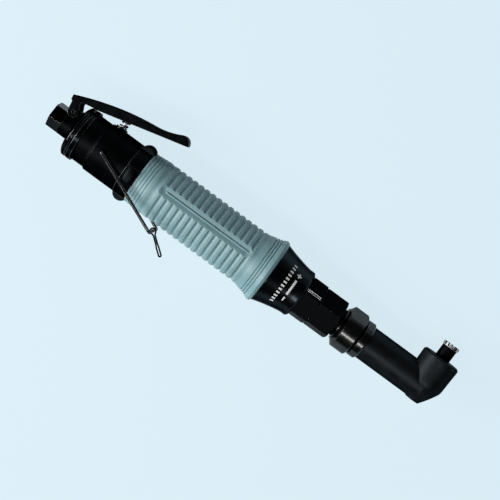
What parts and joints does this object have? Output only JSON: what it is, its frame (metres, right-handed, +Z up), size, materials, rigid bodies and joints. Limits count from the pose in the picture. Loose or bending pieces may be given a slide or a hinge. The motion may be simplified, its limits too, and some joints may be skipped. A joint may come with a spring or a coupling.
{
  "type": "pneumatic screwdriver",
  "caption": "Right-angle pneumatic screwdriver with a lever start, ribbed rubber grip, reverse ring, adjustable clutch, hanger bail and a hexagon bit holder on its angle head.",
  "frame": {"origin": "centre of the air inlet's mouth", "axes": "+X along the tool from the air inlet to the angle head; +Y the side of the start lever and of the output spindle; +Z up as the tool lies on its side"},
  "size_m": [0.3347, 0.0799, 0.0498],
  "materials": {
    "black_anodised": "satin black anodised aluminium",
    "black_paint": "smooth satin black paint",
    "black_oxide": "oiled black oxide steel, slightly glossy",
    "lever_black": "black coated stamped steel, worn at the edges",
    "grip_rubber": "matt teal-grey moulded rubber",
    "wire_steel": "dark drawn spring wire",
    "bright_steel": "bright machined steel",
    "inner_steel": "oiled machined steel",
    "bearing_steel": "ground bearing steel",
    "bush_bronze": "sintered bronze",
    "vane_phenolic": "brown laminated phenolic",
    "seal_rubber": "black nitrile rubber"
  },
  "bodies": {
    "housing": {"inlet_bushing": "black_oxide", "inlet_screen": "bright_steel", "valve_body": "black_anodised", "exhaust_deflector": "black_anodised", "lever_pin": "black_oxide", "valve_bush": "black_oxide", "valve_spring": "wire_steel", "motor_housing": "inner_steel", "rubber_grip": "grip_rubber", "rear_end_plate": "inner_steel", "front_end_plate": "inner_steel", "motor_cylinder": "inner_steel", "cylinder_dowels": "inner_steel", "rear_rotor_bearing": "bearing_steel", "front_rotor_bearing": "bearing_steel", "ring_gear": "inner_steel", "carrier_bearing": "bush_bronze", "clutch_shaft_bearing": "bearing_steel", "gear_case": "black_paint", "front_housing": "black_anodised", "neck_washer": "black_oxide", "coupling_nut": "black_oxide", "lock_ring": "black_oxide", "angle_head": "black_anodised", "head_cap": "black_anodised", "spindle_upper_bearing": "bearing_steel", "spindle_lower_bush": "bush_bronze", "pinion_rear_bearing": "bearing_steel", "pinion_front_bearing": "bearing_steel"},
    "lever": {"lever": "lever_black"},
    "valve_stem": {"valve_stem": "bright_steel", "valve_poppet": "seal_rubber"},
    "reverse_ring": {"reverse_ring": "black_paint", "reverse_pins": "inner_steel", "reverse_plate": "inner_steel"},
    "hanger_bail": {"hanger_bail": "wire_steel"},
    "hanger_link": {"hanger_link": "wire_steel"},
    "rotor": {"rotor": "inner_steel", "rotor_vanes": "vane_phenolic", "sun_pinion": "inner_steel"},
    "planet_carrier": {"planet_carrier": "inner_steel", "planet_pins": "inner_steel", "clutch_driver": "inner_steel", "clutch_balls": "bearing_steel"},
    "planet_1": {"planet_1": "inner_steel"},
    "planet_2": {"planet_2": "inner_steel"},
    "planet_3": {"planet_3": "inner_steel"},
    "clutch_shaft": {"clutch_shaft": "inner_steel", "clutch_spring": "inner_steel"},
    "clutch_jaw": {"clutch_jaw": "inner_steel"},
    "clutch_adjuster": {"clutch_adjuster": "inner_steel"},
    "bevel_pinion": {"bevel_pinion": "inner_steel"},
    "output_spindle": {"output_spindle": "black_oxide", "bevel_gear": "inner_steel", "end_ring": "bright_steel"}
  },
  "joints": [
    {"name": "lever_press", "type": "hinge", "parent": "housing", "child": "lever", "pos_m": [0.012, 0.0096, 0], "axis": [0, 0, -1], "range_deg": [0, 5.5], "stiffness_Nm_per_rad": 1.5, "springref_deg": -4.58},
    {"name": "stem_slide", "type": "slide", "parent": "housing", "child": "valve_stem", "axis": [0, -1, 0], "range_m": [0, 0.0036], "deforming": ["valve_spring"]},
    {"name": "reverse_turn", "type": "hinge", "parent": "housing", "child": "reverse_ring", "pos_m": [0.07005, 0, 0], "axis": [1, 0, 0], "range_deg": [-24, 0]},
    {"name": "bail_swing", "type": "hinge", "parent": "housing", "child": "hanger_bail", "pos_m": [0.0456, -0.0003, 0], "axis": [0, 0, 1], "range_deg": [-140, 0]},
    {"name": "link_swing", "type": "hinge", "parent": "hanger_bail", "child": "hanger_link", "pos_m": [0.1043, -0.0254, 0], "axis": [0, 0, 1], "range_deg": [-120, 40]},
    {"name": "rotor_spin", "type": "hinge", "parent": "housing", "child": "rotor", "pos_m": [0.083, 0, 0], "axis": [1, 0, 0], "continuous": true},
    {"name": "carrier_spin", "type": "hinge", "parent": "housing", "child": "planet_carrier", "pos_m": [0.1525, 0, 0], "axis": [1, 0, 0], "continuous": true},
    {"name": "planet_1_spin", "type": "hinge", "parent": "planet_carrier", "child": "planet_1", "pos_m": [0.143, 0.0084, 0], "axis": [1, 0, 0], "continuous": true},
    {"name": "planet_2_spin", "type": "hinge", "parent": "planet_carrier", "child": "planet_2", "pos_m": [0.143, -0.0042, 0.00728], "axis": [1, 0, 0], "continuous": true},
    {"name": "planet_3_spin", "type": "hinge", "parent": "planet_carrier", "child": "planet_3", "pos_m": [0.143, -0.0042, -0.00728], "axis": [1, 0, 0], "continuous": true},
    {"name": "clutch_shaft_spin", "type": "hinge", "parent": "housing", "child": "clutch_shaft", "pos_m": [0.1713, 0, 0], "axis": [1, 0, 0], "continuous": true},
    {"name": "jaw_slide", "type": "slide", "parent": "clutch_shaft", "child": "clutch_jaw", "axis": [1, 0, 0], "range_m": [0, 0.0015], "stiffness_N_per_m": 1500, "springref_m": -0.006, "deforming": ["clutch_spring"]},
    {"name": "adjuster_travel", "type": "slide", "parent": "clutch_shaft", "child": "clutch_adjuster", "axis": [-1, 0, 0], "range_m": [0, 0.006], "deforming": ["clutch_spring"]},
    {"name": "pinion_spin", "type": "hinge", "parent": "housing", "child": "bevel_pinion", "pos_m": [0.2992, 0, 0], "axis": [1, 0, 0], "continuous": true},
    {"name": "output_spin", "type": "hinge", "parent": "housing", "child": "output_spindle", "pos_m": [0.3204, 0, 0], "axis": [0, 1, 0], "continuous": true}
  ],
  "couplings": [
    {"joint": "stem_slide", "follows": "lever_press", "m_per_rad": 0.0356},
    {"joint": "carrier_spin", "follows": "rotor_spin", "ratio": 0.25},
    {"joint": "clutch_shaft_spin", "follows": "rotor_spin", "ratio": 0.25},
    {"joint": "pinion_spin", "follows": "rotor_spin", "ratio": 0.25},
    {"joint": "output_spin", "follows": "rotor_spin", "ratio": 0.16667},
    {"joint": "planet_1_spin", "follows": "rotor_spin", "ratio": -0.75},
    {"joint": "planet_2_spin", "follows": "rotor_spin", "ratio": -0.75},
    {"joint": "planet_3_spin", "follows": "rotor_spin", "ratio": -0.75}
  ]
}
